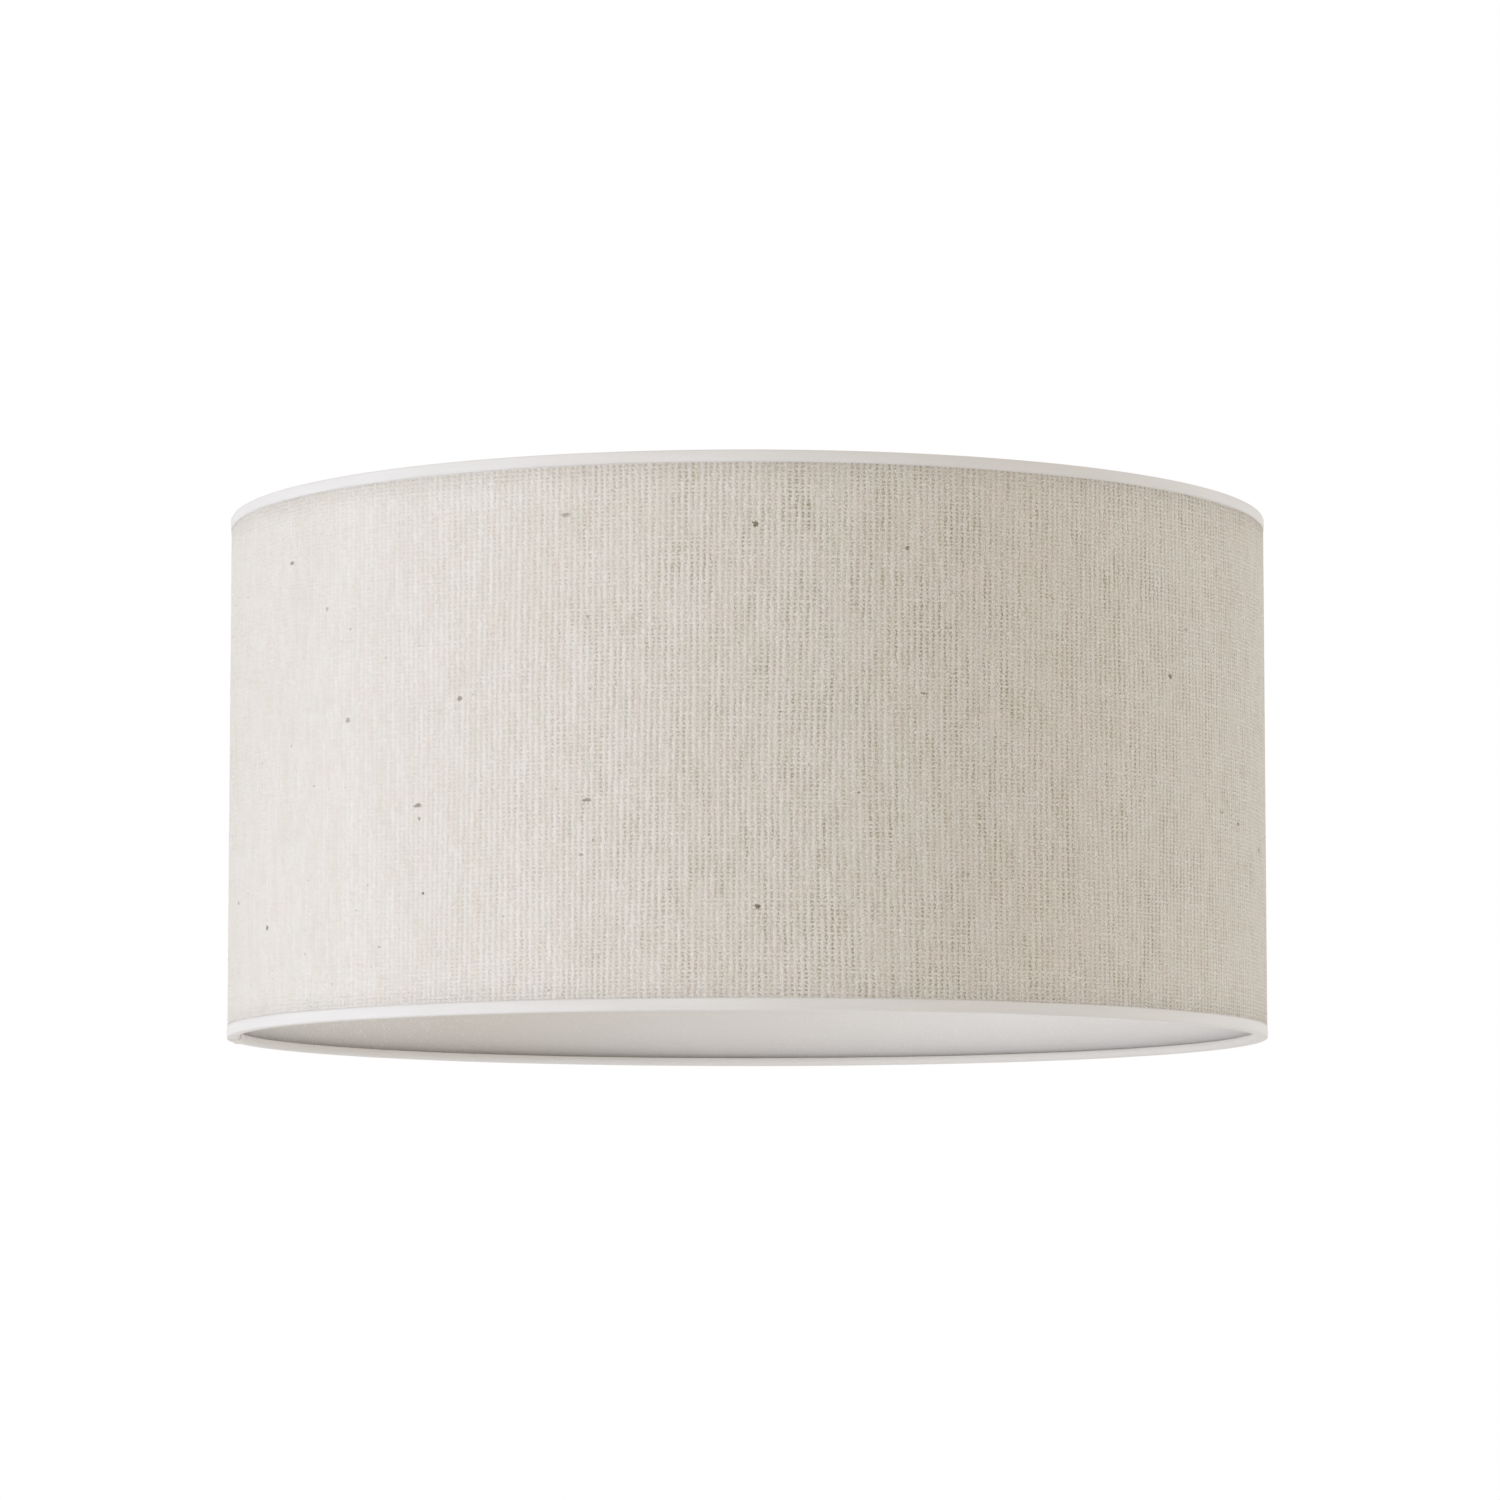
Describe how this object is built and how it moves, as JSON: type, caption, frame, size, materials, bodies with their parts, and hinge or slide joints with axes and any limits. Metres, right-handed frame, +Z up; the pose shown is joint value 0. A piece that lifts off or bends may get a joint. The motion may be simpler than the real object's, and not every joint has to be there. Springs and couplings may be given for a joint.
{
  "type": "drum lamp shade",
  "caption": "Drum lamp shade in woven linen over a stiff liner, with taped rims, wire rings and a recessed spider fitter holding a lift-out reducer ring.",
  "frame": {"origin": "on the shade's axis, at the level of the bottom rim", "axes": "+Z up along the shade's axis, towards the rim with the fitter; the panel's seam is at the left side, towards -X, and -Y is the front"},
  "size_m": [0.5, 0.5, 0.25],
  "materials": {
    "linen": "coarse natural linen, plain woven with slubs, bonded to a stiff backing",
    "liner": "smooth off-white flame-retardant backing film",
    "tape": "plain off-white cotton rim tape, folded and glued over the ring",
    "seam_tape": "double-sided bonding strip",
    "white_steel": "white powder coat over steel wire and pressed steel",
    "white_plastic": "moulded white polypropylene"
  },
  "bodies": {
    "shade": {"fabric_cover": "linen", "liner": "liner", "seam_tape": "seam_tape", "bottom_ring": "white_steel", "top_ring": "white_steel", "bottom_trim": "tape", "top_trim": "tape", "spider_arm_1": "white_steel", "spider_arm_2": "white_steel", "spider_arm_3": "white_steel", "fitter_ring": "white_steel"},
    "reducer": {"reducer_ring": "white_plastic"}
  },
  "joints": [
    {"name": "reducer_lift", "type": "slide", "parent": "shade", "child": "reducer", "axis": [0, 0, 1], "range_m": [0, 0.06]}
  ]
}
